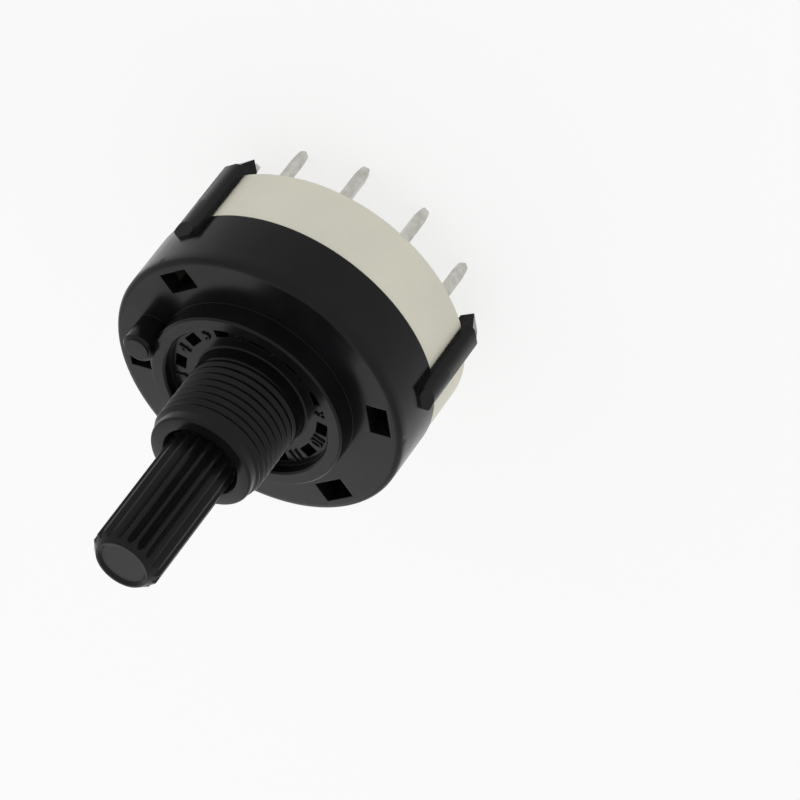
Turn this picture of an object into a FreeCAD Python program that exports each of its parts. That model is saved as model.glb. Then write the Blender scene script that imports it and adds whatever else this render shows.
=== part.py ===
import FreeCAD, Part
import math
import os
import Sketcher

# Rotary selector switch, 1 pole and 12 ways, for panel mounting.
# Millimetres. +Z runs along the shaft towards its end, and the origin is where the
# shaft's axis crosses the mounting plane, the top of the raised ring round the bushing.

SIZES = [
    # Housing: a black moulded cup that opens to the back
    ("housing_radius", 13.2),
    ("housing_wall", 0.95),
    ("housing_edge_round", 1.0),
    ("overlap", 0.1),
    ("front_depth", 2.0),
    ("front_wall", 1.4),
    ("joint_depth", 7.65),
    ("joint_gap", 0.06),
    # Raised ring and the recess inside it, round the foot of the bushing
    ("boss_margin", 0.4),
    ("boss_wall", 1.3),
    ("boss_edge_break", 0.15),
    ("recess_depth", 1.0),
    ("recess_root_break", 0.2),
    # Bushing, drawn at the crest of its M10 thread, with a plain nose
    ("bushing_radius", 4.95),
    ("bushing_height", 7.3),
    ("bushing_nose_radius", 4.6),
    ("bushing_nose_height", 0.9),
    ("bushing_nose_break", 0.2),
    ("bushing_mouth", 0.35),
    # Ring of slots that take the tab of a stop ring
    ("position_count", 12),
    ("slot_inset", 0.98),
    ("slot_radial", 0.98),
    ("slot_width", 1.36),
    # Windows through the front wall
    ("window_count", 5),
    ("window_first", -30),
    ("window_step", 60),
    ("window_radial", 1.9),
    ("window_width", 3.0),
    # Locating post
    ("post_radius", 1.38),
    ("post_inset", 3.4),
    ("post_angle", 9),
    ("post_height", 0.8),
    ("post_shoulder", 0.12),
    ("post_edge_break", 0.15),
    ("post_disc_radius", 1.1),
    ("post_disc_break", 0.05),
    # Snap clips
    ("clip_count", 3),
    ("clip_first", -30),
    ("clip_width", 2.7),
    ("clip_proud", 0.95),
    ("clip_crown", 0.55),
    ("clip_root_depth", 5.2),
    ("clip_root_slope", 0.85),
    ("clip_root_corner", 0.9),
    ("clip_step_depth", 8.9),
    ("clip_step", 0.12),
    ("clip_gap", 0.05),
    ("hook_reach", 0.95),
    ("hook_width", 2.0),
    ("hook_length", 1.55),
    ("hook_lead", 0.6),
    ("hook_heel_step", 0.3),
    ("hook_throat", 0.35),
    # Inner ring with the detent notches
    ("crest_room", 2.05),
    ("crest_wall", 1.1),
    ("notch_depth", 0.5),
    ("notch_round", 2.4),
    # Chamber over the hub, with the fixed stop
    ("chamber_step", 0.7),
    ("stop_angle", -75),
    ("stop_width", 1.7),
    ("stop_reach", 1.1),
    ("stop_drop", 0.8),
    # Terminal plate: a cream moulded cup that closes the back
    ("plate_inset", 0.1),
    ("plate_wall", 1.2),
    ("plate_height", 5.85),
    ("plate_floor", 2.4),
    ("plate_edge_break", 0.4),
    ("spigot_height", 0.8),
    ("spigot_wall", 0.7),
    ("spigot_gap", 0.05),
    ("pilot_socket_depth", 1.2),
    # Terminals
    ("blade_width", 1.0),
    ("blade_thickness", 0.5),
    ("blade_inset", 1.9),
    ("blade_reach", 4.7),
    ("blade_tip", 1.1),
    ("blade_tip_width", 0.5),
    ("blade_tip_bend", 0.22),
    ("blade_gap", 0.03),
    ("pad_reach", 3.0),
    ("pad_width", 1.8),
    ("pad_thickness", 0.4),
    ("pad_corner", 0.4),
    ("common_inner", 3.2),
    ("common_outer", 5.6),
    ("common_place", 4.4),
    ("common_angle", -75),
    # Shaft and its hub
    ("shaft_radius", 3.0),
    ("shaft_end", 19.6),
    ("shaft_gap", 0.05),
    ("crest_end", 0.2),
    ("end_disc_radius", 1.85),
    ("end_disc_break", 0.08),
    ("end_dish", 0.5),
    ("spline_count", 18),
    ("spline_depth", 0.45),
    ("spline_run", 12.6),
    ("collar_radius", 4.2),
    ("thrust_gap", 0.05),
    ("hub_side_gap", 0.1),
    ("hub_front_gap", 0.12),
    ("hub_back_gap", 0.68),
    ("hub_edge_break", 0.25),
    ("pilot_radius", 1.8),
    ("pilot_end_gap", 0.2),
    ("lug_angle", -90),
    ("lug_width", 2.0),
    ("lug_length", 2.2),
    ("lug_margin", 0.2),
    ("lug_gap", 0.15),
    # Detent: a spring and two balls in a hole across the hub
    ("ball_radius", 1.5),
    ("ball_gap", 0.05),
    ("ball_depth", 5.6),
    ("detent_coil_radius", 1.05),
    ("detent_wire", 0.4),
    ("detent_turns", 5),
    ("spring_gap", 0.05),
    # Contact bridge and its spring, in the back of the hub
    ("bridge_angle", 105),
    ("bridge_inner_end", 0.8),
    ("bridge_outer_end", 0.7),
    ("bridge_width", 2.2),
    ("bridge_thickness", 0.35),
    ("bridge_side_gap", 0.06),
    ("bridge_proud", 0.2),
    ("seat_depth", 0.6),
    ("dimple_radius", 0.55),
    ("dimple_lead", 0.2),
    ("outer_contact_inset", 0.8),
    ("contact_gap", 0.03),
    ("contact_spring_inset", 1.8),
    ("contact_coil_radius", 0.85),
    ("contact_wire", 0.3),
    ("contact_turns", 3),
    ("contact_well_depth", 1.7),
]

doc = FreeCAD.newDocument("selector_switch")
sheet = doc.addObject("Spreadsheet::Sheet", "Size")
for row, (alias, number) in enumerate(SIZES, start=1):
    sheet.set(f"A{row}", alias.replace("_", " "))
    sheet.set(f"B{row}", str(number))
    sheet.setAlias(f"B{row}", alias)
doc.recompute()


def worked(expression):
    """The number that an expression on the sheet's sizes stands for."""
    return float(sheet.evalExpression(expression))


# Levels and radii that follow from the sizes, as expressions on the sheet
FRONT = "(-Size.front_depth)"
FRONT_INSIDE = "(-Size.front_depth - Size.front_wall)"
JOINT = "(-Size.joint_depth)"
RECESS = "(-Size.recess_depth)"
CHAMBER_ROOF = "(-Size.recess_depth - Size.front_wall)"
HOUSING_BORE = "(Size.housing_radius - Size.housing_wall)"
CREST_OUTSIDE = f"({HOUSING_BORE} - Size.crest_room)"
CREST_RADIUS = f"({CREST_OUTSIDE} - Size.crest_wall)"
CHAMBER_RADIUS = f"({CREST_RADIUS} - Size.chamber_step)"
BOSS_RADIUS = f"({CHAMBER_RADIUS} + Size.boss_margin)"
BOSS_INSIDE = f"({BOSS_RADIUS} - Size.boss_wall)"
BUSHING_BORE = "(Size.shaft_radius + Size.shaft_gap)"
SLOT_PLACE = f"({BOSS_INSIDE} - Size.slot_inset)"
WINDOW_PLACE = f"({HOUSING_BORE} - Size.crest_room / 2)"
POST_PLACE = "(Size.housing_radius - Size.post_inset)"
PLATE_RADIUS = "(Size.housing_radius - Size.plate_inset)"
PLATE_BACK = "(-Size.joint_depth - Size.plate_height)"
PLATE_FLOOR = "(-Size.joint_depth - Size.plate_height + Size.plate_floor)"
SPIGOT_OUTSIDE = f"({HOUSING_BORE} - Size.spigot_gap)"
BLADE_PLACE = f"({PLATE_RADIUS} - Size.blade_inset)"
PAD_INNER = f"({BLADE_PLACE} - Size.pad_reach)"
PAD_SEAT = f"({PLATE_FLOOR} - Size.pad_thickness)"
SOCKET_END = f"({PLATE_FLOOR} - Size.pilot_socket_depth)"
HUB_RADIUS = f"({CHAMBER_RADIUS} - Size.hub_side_gap)"
HUB_FRONT = f"({FRONT_INSIDE} - Size.hub_front_gap)"
HUB_BACK = f"({PLATE_FLOOR} + Size.hub_back_gap)"
SEAT_ROOF = f"({HUB_BACK} + Size.seat_depth)"
BRIDGE_BACK = f"({HUB_BACK} - Size.bridge_proud)"
BRIDGE_FRONT = f"({BRIDGE_BACK} + Size.bridge_thickness)"
OUTER_CONTACT = f"({PAD_INNER} + Size.outer_contact_inset)"
BRIDGE_INNER = "(Size.common_place - Size.bridge_inner_end)"
BRIDGE_OUTER = f"({OUTER_CONTACT} + Size.bridge_outer_end)"
SPRING_PLACE = f"({HUB_RADIUS} - Size.contact_spring_inset)"
BALL_PLACE = f"({CREST_RADIUS} - Size.ball_gap - Size.ball_radius)"
BALL_HOLE = "(Size.ball_radius + Size.ball_gap)"


def start_body(label):
    """A new body for one sub-part."""
    body = doc.addObject("PartDesign::Body", label)
    body.Label = label
    return body


def origin_of(body, role):
    """One of a body's own origin planes or axes."""
    return next(item for item in body.Origin.OriginFeatures if item.Role == role)


def flat_sketch(body, name, height="0", turn="0"):
    """A sketch across the axis, at a height and turned about the axis."""
    sketch = body.newObject("Sketcher::SketchObject", name)
    sketch.AttachmentSupport = [(origin_of(body, "XY_Plane"), "")]
    sketch.MapMode = "FlatFace"
    place = FreeCAD.Vector(0, 0, worked(height))
    spin = FreeCAD.Rotation(FreeCAD.Vector(0, 0, 1), worked(turn) or 1)
    sketch.AttachmentOffset = FreeCAD.Placement(place, spin)
    sketch.setExpression("AttachmentOffset.Base.z", height)
    sketch.setExpression("AttachmentOffset.Rotation.Angle", turn)
    return sketch


def upright_sketch(body, name, turn="0"):
    """A sketch in the plane through the axis, turned about the axis."""
    sketch = body.newObject("Sketcher::SketchObject", name)
    sketch.AttachmentSupport = [(origin_of(body, "XZ_Plane"), "")]
    sketch.MapMode = "FlatFace"
    spin = FreeCAD.Rotation(FreeCAD.Vector(0, 1, 0), worked(turn) or 1)
    sketch.AttachmentOffset = FreeCAD.Placement(FreeCAD.Vector(0, 0, 0), spin)
    sketch.setExpression("AttachmentOffset.Rotation.Angle", turn)
    return sketch


def hold(sketch, kind, geometry, point, expression):
    """Bind one coordinate of a sketch point, measured from the sketch's origin."""
    number = sketch.addConstraint(Sketcher.Constraint(kind, -1, 1, geometry, point, worked(expression)))
    sketch.setExpression(f"Constraints[{number}]", expression)


def outline(sketch, corners, bends=None):
    """A closed outline through corners given as expressions.

    Its sides are straight. A side numbered in bends is an arc, turning left, through
    a middle point and with a radius that are expressions too.
    """
    bends = bends or {}
    points = [FreeCAD.Vector(worked(across), worked(up), 0) for across, up in corners]
    first = sketch.GeometryCount
    last = first + len(points) - 1
    for index, point in enumerate(points):
        following = points[(index + 1) % len(points)]
        if index in bends:
            across, up, radius = bends[index]
            middle = FreeCAD.Vector(worked(across), worked(up), 0)
            sketch.addGeometry(Part.Arc(point, middle, following), False)
        else:
            sketch.addGeometry(Part.LineSegment(point, following), False)
    for side in range(first, last):
        sketch.addConstraint(Sketcher.Constraint("Coincident", side, 2, side + 1, 1))
    sketch.addConstraint(Sketcher.Constraint("Coincident", last, 2, first, 1))
    for index, (across, up, radius) in bends.items():
        number = sketch.addConstraint(Sketcher.Constraint("Radius", first + index, worked(radius)))
        sketch.setExpression(f"Constraints[{number}]", radius)
    for side, (across, up) in enumerate(corners, start=first):
        hold(sketch, "DistanceX", side, 1, across)
        hold(sketch, "DistanceY", side, 1, up)


def circle(sketch, across, up, radius):
    """A circle whose centre and radius are expressions."""
    centre = FreeCAD.Vector(worked(across), worked(up), 0)
    ring = Part.Circle(centre, FreeCAD.Vector(0, 0, 1), worked(radius))
    geometry = sketch.addGeometry(ring, False)
    number = sketch.addConstraint(Sketcher.Constraint("Radius", geometry, worked(radius)))
    sketch.setExpression(f"Constraints[{number}]", radius)
    hold(sketch, "DistanceX", geometry, 3, across)
    hold(sketch, "DistanceY", geometry, 3, up)


def block(sketch, near, far, width):
    """A rectangle from near to far along the sketch's X, centred across it."""
    half = f"({width} / 2)"
    outline(sketch, [(near, f"-{half}"), (far, f"-{half}"), (far, half), (near, half)])


def revolve(body, sketch, name="turned_form"):
    """The whole turn of a sketch about the axis."""
    feature = body.newObject("PartDesign::Revolution", name)
    feature.Profile = sketch
    feature.ReferenceAxis = (sketch, ["V_Axis"])
    feature.Angle = 360
    doc.recompute()
    return feature


def extrude(body, kind, sketch, length, name, down=False, both=False):
    """A pad or a pocket of a sketch, checked to have changed the body."""
    before = body.Shape.Volume if body.Tip else 0
    feature = body.newObject(f"PartDesign::{kind}", name)
    feature.Profile = sketch
    feature.setExpression("Length", length)
    if both:
        feature.SideType = "Symmetric"
    else:
        feature.Reversed = down
    doc.recompute()
    changed = abs(feature.Shape.Volume - before)
    if changed < 1e-6:
        raise RuntimeError(f"{body.Label}: {name} changed nothing")
    return feature


def pad(body, sketch, length, name, **options):
    return extrude(body, "Pad", sketch, length, name, **options)


def pocket(body, sketch, length, name, **options):
    return extrude(body, "Pocket", sketch, length, name, **options)


def repeat(body, features, count, angle="360", name="round_the_axis"):
    """Features repeated about the axis; a full turn spreads the copies evenly."""
    pattern = body.newObject("PartDesign::PolarPattern", name)
    pattern.Originals = features
    pattern.Axis = (origin_of(body, "Z_Axis"), [""])
    pattern.setExpression("Angle", angle)
    pattern.setExpression("Occurrences", count)
    body.Tip = pattern
    doc.recompute()
    return pattern


def rings(shape, radius, height):
    """Names of the full circles of one radius at one height."""
    found = []
    for number, edge in enumerate(shape.Edges, start=1):
        curve = edge.Curve
        if not isinstance(curve, Part.Circle) or not edge.isClosed():
            continue
        if abs(curve.Radius - radius) < 1e-4 and abs(curve.Center.z - height) < 1e-4:
            found.append(f"Edge{number}")
    return found


def soften(body, base, radius, places, name, kind="Fillet"):
    """A fillet or a chamfer on the circles at the given radii and heights."""
    edges = []
    for ring_radius, height in places:
        found = rings(base.Shape, worked(ring_radius), worked(height))
        if not found:
            raise RuntimeError(f"{body.Label}: {name} found no edge at {ring_radius}")
        edges += found
    feature = body.newObject(f"PartDesign::{kind}", name)
    feature.Base = (base, edges)
    feature.setExpression("Radius" if kind == "Fillet" else "Size", radius)
    body.Tip = feature
    doc.recompute()
    return feature


def turned(body, angle):
    """Stand a body at an angle about the axis."""
    spin = FreeCAD.Rotation(FreeCAD.Vector(0, 0, 1), worked(angle) or 1)
    body.Placement = FreeCAD.Placement(FreeCAD.Vector(0, 0, 0), spin)
    body.setExpression("Placement.Rotation.Angle", angle)


def make_housing():
    body = start_body("housing")
    section = upright_sketch(body, "housing_section")
    ring_rim = f"({JOINT} + Size.joint_gap)"
    nose = "(Size.bushing_height - Size.bushing_nose_height)"
    outline(section, [
        ("Size.housing_radius", JOINT),
        ("Size.housing_radius", FRONT),
        (BOSS_RADIUS, FRONT),
        (BOSS_RADIUS, "0"),
        (BOSS_INSIDE, "0"),
        (BOSS_INSIDE, RECESS),
        ("(Size.bushing_radius + Size.recess_root_break)", RECESS),
        ("Size.bushing_radius", f"({RECESS} + Size.recess_root_break)"),
        ("Size.bushing_radius", f"({nose} - Size.bushing_radius + Size.bushing_nose_radius)"),
        ("Size.bushing_nose_radius", nose),
        ("Size.bushing_nose_radius", "(Size.bushing_height - Size.bushing_nose_break)"),
        ("(Size.bushing_nose_radius - Size.bushing_nose_break)", "Size.bushing_height"),
        (f"({BUSHING_BORE} + Size.bushing_mouth)", "Size.bushing_height"),
        (BUSHING_BORE, "(Size.bushing_height - Size.bushing_mouth)"),
        (BUSHING_BORE, CHAMBER_ROOF),
        (CHAMBER_RADIUS, CHAMBER_ROOF),
        (CHAMBER_RADIUS, FRONT_INSIDE),
        (CREST_RADIUS, FRONT_INSIDE),
        (CREST_RADIUS, ring_rim),
        (CREST_OUTSIDE, ring_rim),
        (CREST_OUTSIDE, FRONT_INSIDE),
        (HOUSING_BORE, FRONT_INSIDE),
        (HOUSING_BORE, JOINT),
    ])
    form = revolve(body, section)
    form = soften(body, form, "Size.housing_edge_round", [("Size.housing_radius", FRONT)], "front_edge")
    boss_edges = [(BOSS_RADIUS, "0"), (BOSS_INSIDE, "0")]
    form = soften(body, form, "Size.boss_edge_break", boss_edges, "boss_edges", kind="Chamfer")

    # Twelve notches inside the ring, one at each switch position
    notch = flat_sketch(body, "notch_outline", FRONT_INSIDE)
    circle(notch, f"({CREST_RADIUS} + Size.notch_depth - Size.notch_round)", "0", "Size.notch_round")
    depth = "(Size.joint_depth - Size.front_depth - Size.front_wall)"
    notches = pocket(body, notch, depth, "detent_notch")
    repeat(body, [notches], "Size.position_count", name="detent_notches")

    # Slots through the floor of the recess, half a step from the notches
    slot = flat_sketch(body, "slot_outline", RECESS, "(180 / Size.position_count)")
    near = f"({SLOT_PLACE} - Size.slot_radial / 2)"
    block(slot, near, f"({near} + Size.slot_radial)", "Size.slot_width")
    slots = pocket(body, slot, "Size.front_wall", "stop_slot")
    repeat(body, [slots], "Size.position_count", name="stop_slots")

    # Windows through the front wall, between the inner ring and the outer wall
    window = flat_sketch(body, "window_outline", FRONT, "Size.window_first")
    near = f"({WINDOW_PLACE} - Size.window_radial / 2)"
    block(window, near, f"({near} + Size.window_radial)", "Size.window_width")
    windows = pocket(body, window, "Size.front_wall", "front_window")
    span = "(Size.window_step * (Size.window_count - 1))"
    repeat(body, [windows], "Size.window_count", span, "front_windows")

    # Fixed stop, which the hub's lug meets at the first and last positions
    stop = flat_sketch(body, "stop_outline", CHAMBER_ROOF, "Size.stop_angle")
    block(stop, f"({CHAMBER_RADIUS} - Size.stop_reach)", f"({CHAMBER_RADIUS} + Size.overlap)", "Size.stop_width")
    pad(body, stop, "Size.stop_drop", "fixed_stop", down=True)

    # Locating post, joined to the raised ring at its foot, with a raised disc on its end
    post = flat_sketch(body, "post_outline", FRONT, "Size.post_angle")
    circle(post, POST_PLACE, "0", "Size.post_radius")
    shoulder = "(Size.post_height - Size.post_shoulder)"
    form = pad(body, post, f"(Size.front_depth + {shoulder})", "locating_post")
    soften(body, form, "Size.post_edge_break", [("Size.post_radius", shoulder)], "post_edge", kind="Chamfer")
    disc = flat_sketch(body, "disc_outline", shoulder, "Size.post_angle")
    circle(disc, POST_PLACE, "0", "Size.post_disc_radius")
    form = pad(body, disc, "Size.post_shoulder", "post_disc")
    disc_rim = [("Size.post_disc_radius", "Size.post_height")]
    soften(body, form, "Size.post_disc_break", disc_rim, "disc_edge", kind="Chamfer")

    add_clips(body)
    return body


def add_clips(body):
    """Three snap clips down the side, whose hooks close over the plate's back."""
    inside = f"({PLATE_RADIUS} + Size.clip_gap)"
    outside = "(Size.housing_radius + Size.clip_proud)"
    heel = f"({PLATE_BACK} - Size.clip_gap)"
    top = "(-Size.clip_root_depth)"
    half = "(Size.clip_width / 2)"

    # Arm, seen from outside: a strip with two rounded upper corners
    plan = body.newObject("Sketcher::SketchObject", "clip_plan")
    plan.AttachmentSupport = [(origin_of(body, "YZ_Plane"), "")]
    plan.MapMode = "FlatFace"
    spin = FreeCAD.Rotation(FreeCAD.Vector(0, 1, 0), worked("Size.clip_first"))
    plan.AttachmentOffset = FreeCAD.Placement(FreeCAD.Vector(0, 0, 0), spin)
    plan.setExpression("AttachmentOffset.Rotation.Angle", "Size.clip_first")
    plan.setExpression("AttachmentOffset.Base.x", f"({inside} * sin(Size.clip_first))")
    plan.setExpression("AttachmentOffset.Base.z", f"({inside} * cos(Size.clip_first))")
    bend = "Size.clip_root_corner"
    shoulder = f"({top} - {bend})"
    inset = f"({half} - {bend})"
    middle_across = f"({inset} + {bend} * sin(45))"
    middle_up = f"({shoulder} + {bend} * sin(45))"
    outline(plan, [
        (f"-{half}", heel),
        (half, heel),
        (half, shoulder),
        (inset, top),
        (f"-{inset}", top),
        (f"-{half}", shoulder),
    ], {2: (middle_across, middle_up, bend), 4: (f"-{middle_across}", middle_up, bend)})
    arm = pad(body, plan, f"({outside} - {inside})", "clip_arm")

    # Crown along the arm's outer face
    section = flat_sketch(body, "crown_section", f"({top} + Size.overlap)", "Size.clip_first")
    low = f"({outside} - Size.clip_crown)"
    beyond = f"({outside} + Size.overlap)"
    wide = f"({half} + Size.overlap)"
    crown_bend = f"(({half} * {half} + Size.clip_crown * Size.clip_crown) / (2 * Size.clip_crown))"
    outline(section, [
        (low, f"-{half}"),
        (low, half),
        (low, wide),
        (beyond, wide),
        (beyond, f"-{wide}"),
        (low, f"-{wide}"),
    ], {0: (outside, "0", crown_bend)})
    crown = pocket(body, section, f"({top} + 2 * Size.overlap - {heel})", "clip_crown")

    # Hook, seen from the side: catch face, lead-in, ridge and outer slope
    side = upright_sketch(body, "hook_side", "Size.clip_first")
    tip = f"({inside} - Size.hook_reach)"
    ridge = f"({heel} - Size.hook_length)"
    back = f"({outside} - Size.hook_heel_step)"
    joined = f"({heel} + Size.hook_throat)"
    outline(side, [
        (inside, joined),
        (f"({inside} - Size.hook_throat)", heel),
        (tip, heel),
        (tip, f"({ridge} + Size.hook_lead)"),
        (inside, ridge),
        (back, heel),
        (back, joined),
    ])
    hook = pad(body, side, "Size.hook_width", "clip_hook", both=True)

    # Sloped upper end of the arm, and the small step part of the way down its crown
    shave = upright_sketch(body, "root_shave", "Size.clip_first")
    outline(shave, [
        (f"({outside} - Size.clip_root_slope)", f"({top} + Size.overlap)"),
        (beyond, f"({top} + Size.overlap)"),
        (beyond, f"({top} - Size.clip_root_slope)"),
        (outside, f"({top} - Size.clip_root_slope)"),
    ])
    outline(shave, [
        (f"({outside} - Size.clip_step)", "(-Size.clip_step_depth)"),
        (beyond, "(-Size.clip_step_depth)"),
        (beyond, heel),
        (f"({outside} - Size.clip_step)", heel),
    ])
    shaved = pocket(body, shave, "(2 * Size.clip_width)", "clip_root", both=True)
    repeat(body, [arm, crown, hook, shaved], "Size.clip_count", name="clips")


def make_plate():
    body = start_body("terminal_plate")
    section = upright_sketch(body, "plate_section")
    spigot_inside = f"({SPIGOT_OUTSIDE} - Size.spigot_wall)"
    spigot_top = f"({JOINT} + Size.spigot_height)"
    seat = f"({JOINT} - Size.joint_gap)"
    socket_radius = "(Size.pilot_radius + Size.shaft_gap)"
    outline(section, [
        ("0", PLATE_BACK),
        (PLATE_RADIUS, PLATE_BACK),
        (PLATE_RADIUS, seat),
        (SPIGOT_OUTSIDE, seat),
        (SPIGOT_OUTSIDE, spigot_top),
        (spigot_inside, spigot_top),
        (spigot_inside, PLATE_FLOOR),
        (socket_radius, PLATE_FLOOR),
        (socket_radius, SOCKET_END),
        ("0", SOCKET_END),
    ])
    form = revolve(body, section)
    soften(body, form, "Size.plate_edge_break", [(PLATE_RADIUS, PLATE_BACK)], "back_edge", kind="Chamfer")

    # Seats that hold the terminals flush with the floor, and slots for their blades
    half_step = "(180 / Size.position_count)"
    seat = flat_sketch(body, "pad_seat_outline", PLATE_FLOOR, half_step)
    pad_outline(seat, "Size.blade_gap")
    seats = pocket(body, seat, "Size.pad_thickness", "pad_seat")
    slot = flat_sketch(body, "blade_slot_outline", PAD_SEAT, half_step)
    blade_slot(slot, BLADE_PLACE)
    slots = pocket(body, slot, "(Size.plate_floor - Size.pad_thickness)", "blade_slot")
    repeat(body, [seats, slots], "Size.position_count", name="terminal_seats")
    seat = flat_sketch(body, "ring_seat_outline", PLATE_FLOOR)
    circle(seat, "0", "0", "(Size.common_outer + Size.blade_gap)")
    circle(seat, "0", "0", "(Size.common_inner - Size.blade_gap)")
    pocket(body, seat, "Size.pad_thickness", "ring_seat")
    slot = flat_sketch(body, "common_slot_outline", PAD_SEAT, "Size.common_angle")
    blade_slot(slot, "Size.common_place")
    pocket(body, slot, "(Size.plate_floor - Size.pad_thickness)", "common_slot")
    return body


def pad_outline(sketch, gap="0"):
    """The outline of a terminal's contact pad, larger all round by a gap."""
    inner = f"({PAD_INNER} - {gap})"
    outer = f"({BLADE_PLACE} + Size.blade_thickness / 2 + {gap})"
    half = f"(Size.pad_width / 2 + {gap})"
    outline(sketch, [
        (f"({inner} + Size.pad_corner)", f"-{half}"),
        (f"({outer} - Size.pad_corner)", f"-{half}"),
        (outer, f"-({half} - Size.pad_corner)"),
        (outer, f"({half} - Size.pad_corner)"),
        (f"({outer} - Size.pad_corner)", half),
        (f"({inner} + Size.pad_corner)", half),
        (inner, f"({half} - Size.pad_corner)"),
        (inner, f"-({half} - Size.pad_corner)"),
    ])


def blade_slot(sketch, place):
    """The slot that a terminal's blade passes through, a little larger than the blade."""
    near = f"({place} - Size.blade_thickness / 2 - Size.blade_gap)"
    far = f"({place} + Size.blade_thickness / 2 + Size.blade_gap)"
    block(sketch, near, far, "(Size.blade_width + 2 * Size.blade_gap)")


def add_blade(body, place):
    """The flat blade that passes through the plate's floor, with a narrowed tip."""
    near = f"({place} - Size.blade_thickness / 2)"
    far = f"({place} + Size.blade_thickness / 2)"
    root = flat_sketch(body, "blade_outline", PAD_SEAT)
    block(root, near, far, "Size.blade_width")
    length = "(Size.plate_floor - Size.pad_thickness + Size.blade_reach)"
    pad(body, root, length, "blade", down=True)

    # Two slanted cuts narrow the tip across its width
    tip = f"({PLATE_BACK} - Size.blade_reach)"
    start = f"({tip} + Size.blade_tip)"
    sketch = body.newObject("Sketcher::SketchObject", "tip_outline")
    sketch.AttachmentSupport = [(origin_of(body, "YZ_Plane"), "")]
    sketch.MapMode = "FlatFace"
    sketch.setExpression("AttachmentOffset.Base.z", place)
    for side in ("", "-"):
        flank = f"({side}Size.blade_width / 2)"
        corner = f"({side}Size.blade_tip_width / 2)"
        beyond = f"({side}(Size.blade_width / 2 + Size.overlap))"
        outline(sketch, [
            (flank, start),
            (beyond, start),
            (beyond, f"({tip} - Size.overlap)"),
            (corner, f"({tip} - Size.overlap)"),
            (corner, tip),
            (f"({side}(Size.blade_width + Size.blade_tip_width) / 4)", f"({tip} + Size.blade_tip * Size.blade_tip_bend)"),
        ])
    pocket(body, sketch, "(2 * Size.blade_thickness)", "tip_taper", both=True)


def make_terminal(number):
    """One of the stamped terminals: a contact pad on the floor and a blade through it."""
    body = start_body(f"terminal_{number:02d}")
    foot = flat_sketch(body, "pad_outline", PAD_SEAT)
    pad_outline(foot)
    pad(body, foot, "Size.pad_thickness", "contact_pad")
    add_blade(body, BLADE_PLACE)
    turned(body, f"(Size.bridge_angle - {number - 1} * 360 / Size.position_count)")
    return body


def make_common_terminal():
    """The ring that the contact bridge always touches, with one blade."""
    body = start_body("common_terminal")
    ring = flat_sketch(body, "ring_outline", PAD_SEAT)
    circle(ring, "0", "0", "Size.common_outer")
    circle(ring, "0", "0", "Size.common_inner")
    pad(body, ring, "Size.pad_thickness", "contact_ring")
    add_blade(body, "Size.common_place")
    turned(body, "Size.common_angle")
    return body


def make_shaft():
    """Splined shaft, thrust collar and detent hub in one moulding."""
    body = start_body("shaft")
    section = upright_sketch(body, "shaft_section")
    crest_top = "(Size.shaft_end - Size.crest_end)"
    root = "(Size.shaft_radius - Size.spline_depth)"
    collar_top = f"({CHAMBER_ROOF} - Size.thrust_gap)"
    outline(section, [
        ("0", f"({SOCKET_END} + Size.pilot_end_gap)"),
        ("Size.pilot_radius", f"({SOCKET_END} + Size.pilot_end_gap)"),
        ("Size.pilot_radius", HUB_BACK),
        (HUB_RADIUS, HUB_BACK),
        (HUB_RADIUS, HUB_FRONT),
        ("Size.collar_radius", HUB_FRONT),
        ("Size.collar_radius", collar_top),
        ("Size.shaft_radius", collar_top),
        ("Size.shaft_radius", crest_top),
        ("Size.end_disc_radius", "(Size.shaft_end - Size.end_dish)"),
        ("Size.end_disc_radius", "(Size.shaft_end - Size.end_disc_break)"),
        ("(Size.end_disc_radius - Size.end_disc_break)", "Size.shaft_end"),
        ("0", "Size.shaft_end"),
    ])
    form = revolve(body, section)
    hub_edges = [(HUB_RADIUS, HUB_BACK), (HUB_RADIUS, HUB_FRONT)]
    soften(body, form, "Size.hub_edge_break", hub_edges, "hub_edges", kind="Chamfer")

    # V grooves that leave sharp splines
    groove = flat_sketch(body, "groove_outline", "Size.shaft_end")
    outer = "(Size.shaft_radius + Size.overlap)"
    mouth = f"({outer} * tan(180 / Size.spline_count))"
    outline(groove, [(root, "0"), (outer, f"-{mouth}"), (outer, mouth)])
    grooves = pocket(body, groove, "Size.spline_run", "spline_groove")
    repeat(body, [grooves], "Size.spline_count", name="splines")

    # Lug that meets the stops
    lug = flat_sketch(body, "lug_outline", HUB_FRONT, "Size.lug_angle")
    lug_end = f"({HUB_RADIUS} - Size.lug_margin)"
    block(lug, f"({lug_end} - Size.lug_length)", lug_end, "Size.lug_width")
    height = f"({CHAMBER_ROOF} - Size.lug_gap - {HUB_FRONT})"
    pad(body, lug, height, "stop_lug")

    # Hole across the hub for the detent spring and balls
    sketch = body.newObject("Sketcher::SketchObject", "cross_hole_outline")
    sketch.AttachmentSupport = [(origin_of(body, "YZ_Plane"), "")]
    sketch.MapMode = "FlatFace"
    circle(sketch, "0", "(-Size.ball_depth)", BALL_HOLE)
    pocket(body, sketch, f"(3 * {HUB_RADIUS})", "cross_hole", both=True)

    # Seat for the contact bridge, and the well of its spring
    seat = flat_sketch(body, "seat_outline", HUB_BACK, "Size.bridge_angle")
    near = f"({BRIDGE_INNER} - Size.bridge_side_gap)"
    block(seat, near, BRIDGE_OUTER, "(Size.bridge_width + 2 * Size.bridge_side_gap)")
    pocket(body, seat, "Size.seat_depth", "bridge_seat", down=True)
    well = flat_sketch(body, "well_outline", SEAT_ROOF, "Size.bridge_angle")
    well_radius = "(Size.contact_coil_radius + Size.contact_wire / 2 + Size.spring_gap)"
    circle(well, SPRING_PLACE, "0", well_radius)
    pocket(body, well, "Size.contact_well_depth", "spring_well", down=True)
    return body


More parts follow.
